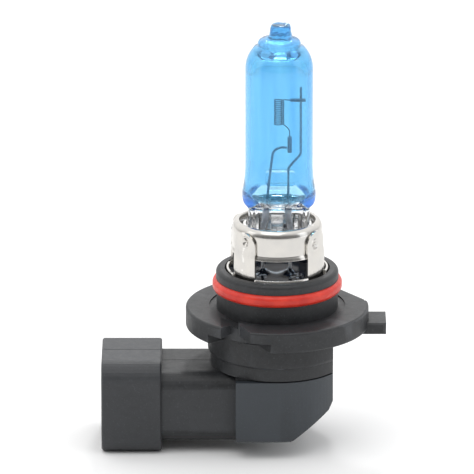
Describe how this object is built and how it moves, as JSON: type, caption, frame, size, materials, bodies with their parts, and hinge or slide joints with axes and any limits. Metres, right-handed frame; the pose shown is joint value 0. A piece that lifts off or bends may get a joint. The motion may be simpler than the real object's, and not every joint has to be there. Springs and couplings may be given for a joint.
{
  "type": "headlight bulb",
  "caption": "Halogen headlight bulb with an axial filament in blue-coated glass, a lugged prefocus cap with a seal, and a right-angle blade connector.",
  "frame": {"origin": "on the bulb's axis, in the flange's seating plane", "axes": "+Z along the bulb's axis to the glass tip; the connector opens towards -X; the flange's key points to +X"},
  "size_m": [0.046, 0.0279, 0.0702],
  "materials": {
    "housing_plastic": "fine moulded texture, slightly lighter on worn edges",
    "cover_plastic": "finer and slightly glossier than the housing",
    "gasket_rubber": "matt",
    "red_silicone": "semi-gloss silicone",
    "nickel_steel": "satin stamped stainless sheet",
    "clip_steel": "bright stamped spring sheet",
    "blue_glass": "clear hard glass with a light blue coating",
    "clear_glass": "clear hard glass",
    "tungsten": "drawn wire, dull grey",
    "molybdenum": "drawn wire",
    "crimp_metal": "rolled sheet",
    "nickel_wire": "drawn nickel-plated wire",
    "sealing_compound": "glossy cast compound",
    "white_insulation": "smooth sleeve",
    "terminal_brass": "tinned blade"
  },
  "bodies": {
    "root": {"base_housing": "housing_plastic", "rear_cover": "cover_plastic", "cover_gasket": "gasket_rubber", "o_ring": "red_silicone", "retaining_ring": "nickel_steel", "capsule_collar": "nickel_steel", "spring_clip": "clip_steel", "glass_envelope": "blue_glass", "glass_press": "clear_glass", "glass_bridge": "clear_glass", "filament_coil": "tungsten", "long_support_lead": "molybdenum", "short_support_lead": "molybdenum", "upper_crimp_sleeve": "crimp_metal", "lower_crimp_sleeve": "crimp_metal", "lead_pin_left": "nickel_wire", "lead_pin_right": "nickel_wire", "lead_seal": "sealing_compound", "insulating_sleeve": "white_insulation", "terminal_short": "terminal_brass", "terminal_long": "terminal_brass"}
  },
  "joints": []
}
